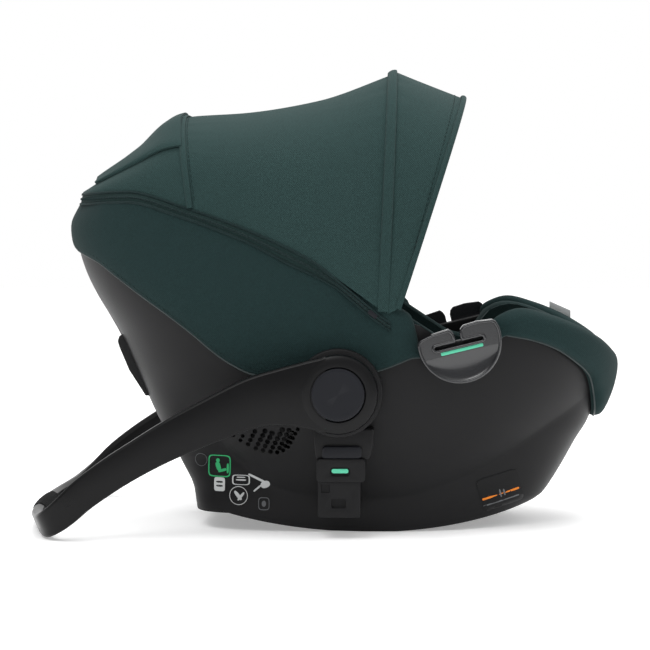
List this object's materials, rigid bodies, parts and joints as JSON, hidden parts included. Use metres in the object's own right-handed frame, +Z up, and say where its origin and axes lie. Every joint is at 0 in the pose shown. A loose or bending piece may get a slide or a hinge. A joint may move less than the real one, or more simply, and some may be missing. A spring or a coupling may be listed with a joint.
{
  "type": "infant car seat",
  "caption": "Rear-facing infant car seat with a rocker-bottomed shell, a swing-back carrying handle, a folding canopy with a visor, and a padded seat with a harness.",
  "frame": {"origin": "centre of the bounding box in plan, on the floor, with the seat standing on its rockers and its handle swung back and down", "axes": "+X to the foot end, +Y to the left-hand side of a child in the seat, +Z up"},
  "size_m": [0.7008, 0.4392, 0.5324],
  "materials": {
    "shell_plastic": "satin",
    "gloss_plastic": "gloss",
    "handle_plastic": "satin",
    "cap_plastic": "satin",
    "rail_rubber": "matte",
    "foam": "matte",
    "mint_plastic": "satin",
    "cover_fabric": "matte",
    "pad_fabric": "matte",
    "inlay_fabric": "matte",
    "canopy_fabric": "matte",
    "steel": "satin",
    "webbing": "matte",
    "button_red": "satin"
  },
  "bodies": {
    "seat": {"outer_shell": "shell_plastic", "shell_pan": "shell_plastic", "foam_liner": "foam", "seat_pad": "pad_fabric", "rocker_rail_right": "rail_rubber", "rocker_rail_left": "rail_rubber", "hub_boss_right": "shell_plastic", "hub_boss_left": "shell_plastic", "hub_axle_right": "steel", "hub_axle_left": "steel", "adapter_housing_right": "shell_plastic", "adapter_housing_left": "shell_plastic", "adapter_window_right": "mint_plastic", "adapter_window_left": "mint_plastic", "belt_guide_right": "gloss_plastic", "belt_guide_left": "gloss_plastic", "belt_guide_strip_right": "mint_plastic", "belt_guide_strip_left": "mint_plastic", "rear_belt_hook": "gloss_plastic", "latch_bar_rear": "steel", "latch_bar_front": "steel", "seat_cover_head": "cover_fabric", "seat_cover_foot": "cover_fabric", "newborn_inlay": "inlay_fabric", "canopy_rear_panel": "canopy_fabric", "canopy_rear_flap": "canopy_fabric", "canopy_main_panel": "canopy_fabric", "canopy_rear_bow": "steel", "canopy_pivot_right": "gloss_plastic", "canopy_pivot_left": "gloss_plastic", "shoulder_strap_right": "webbing", "shoulder_strap_left": "webbing", "shoulder_pad_right": "inlay_fabric", "shoulder_pad_left": "inlay_fabric", "lap_strap_right": "webbing", "lap_strap_left": "webbing", "crotch_strap": "webbing", "crotch_pad": "inlay_fabric", "buckle_body": "gloss_plastic", "buckle_tongue_right": "gloss_plastic", "buckle_tongue_left": "gloss_plastic", "adjuster_housing": "gloss_plastic", "adjuster_strap": "webbing"},
    "handle": {"handle_frame": "handle_plastic", "handle_grip": "rail_rubber", "handle_inner_cover_right": "handle_plastic", "handle_inner_cover_left": "handle_plastic"},
    "release_button_right": {"release_button_right": "cap_plastic"},
    "release_button_left": {"release_button_left": "cap_plastic"},
    "canopy_front": {"canopy_front_bow": "steel"},
    "visor": {"visor_wire": "steel", "canopy_visor": "canopy_fabric"},
    "headrest": {"headrest_shell": "shell_plastic", "headrest_pad": "inlay_fabric"},
    "adapter_lever_right": {"adapter_lever_right": "gloss_plastic"},
    "adapter_lever_left": {"adapter_lever_left": "gloss_plastic"},
    "buckle_button": {"buckle_button": "button_red"},
    "adjuster_button": {"adjuster_button": "shell_plastic"}
  },
  "joints": [
    {"name": "handle_hinge", "type": "hinge", "parent": "seat", "child": "handle", "pos_m": [0.0196, 0, 0.1668], "axis": [0, 1, 0], "range_deg": [0, 113]},
    {"name": "release_button_right_press", "type": "slide", "parent": "handle", "child": "release_button_right", "axis": [0, 1, 0], "range_m": [0, 0.004], "stiffness_N_per_m": 600, "springref_m": -0.003},
    {"name": "release_button_left_press", "type": "slide", "parent": "handle", "child": "release_button_left", "axis": [0, -1, 0], "range_m": [0, 0.004], "stiffness_N_per_m": 600, "springref_m": -0.003},
    {"name": "canopy_fold", "type": "hinge", "parent": "seat", "child": "canopy_front", "pos_m": [0.078, 0, 0.24], "axis": [0, -1, 0], "range_deg": [0, 35], "deforming": ["canopy_main_panel"]},
    {"name": "visor_flip", "type": "hinge", "parent": "canopy_front", "child": "visor", "pos_m": [0.078, 0, 0.24], "axis": [0, -1, 0], "range_deg": [0, 12], "deforming": ["canopy_visor"]},
    {"name": "headrest_slide", "type": "slide", "parent": "seat", "child": "headrest", "axis": [-0.4755, 0, 0.8797], "range_m": [0, 0.06]},
    {"name": "adapter_lever_right_pull", "type": "slide", "parent": "seat", "child": "adapter_lever_right", "axis": [0, 0, 1], "range_m": [0, 0.008], "stiffness_N_per_m": 300, "springref_m": -0.004},
    {"name": "adapter_lever_left_pull", "type": "slide", "parent": "seat", "child": "adapter_lever_left", "axis": [0, 0, 1], "range_m": [0, 0.008], "stiffness_N_per_m": 300, "springref_m": -0.004},
    {"name": "buckle_button_press", "type": "slide", "parent": "seat", "child": "buckle_button", "axis": [-0.3429, 0, -0.9394], "range_m": [0, 0.003], "stiffness_N_per_m": 800, "springref_m": -0.003},
    {"name": "adjuster_button_press", "type": "slide", "parent": "seat", "child": "adjuster_button", "axis": [0.5141, 0, -0.8577], "range_m": [0, 0.003], "stiffness_N_per_m": 800, "springref_m": -0.003}
  ]
}
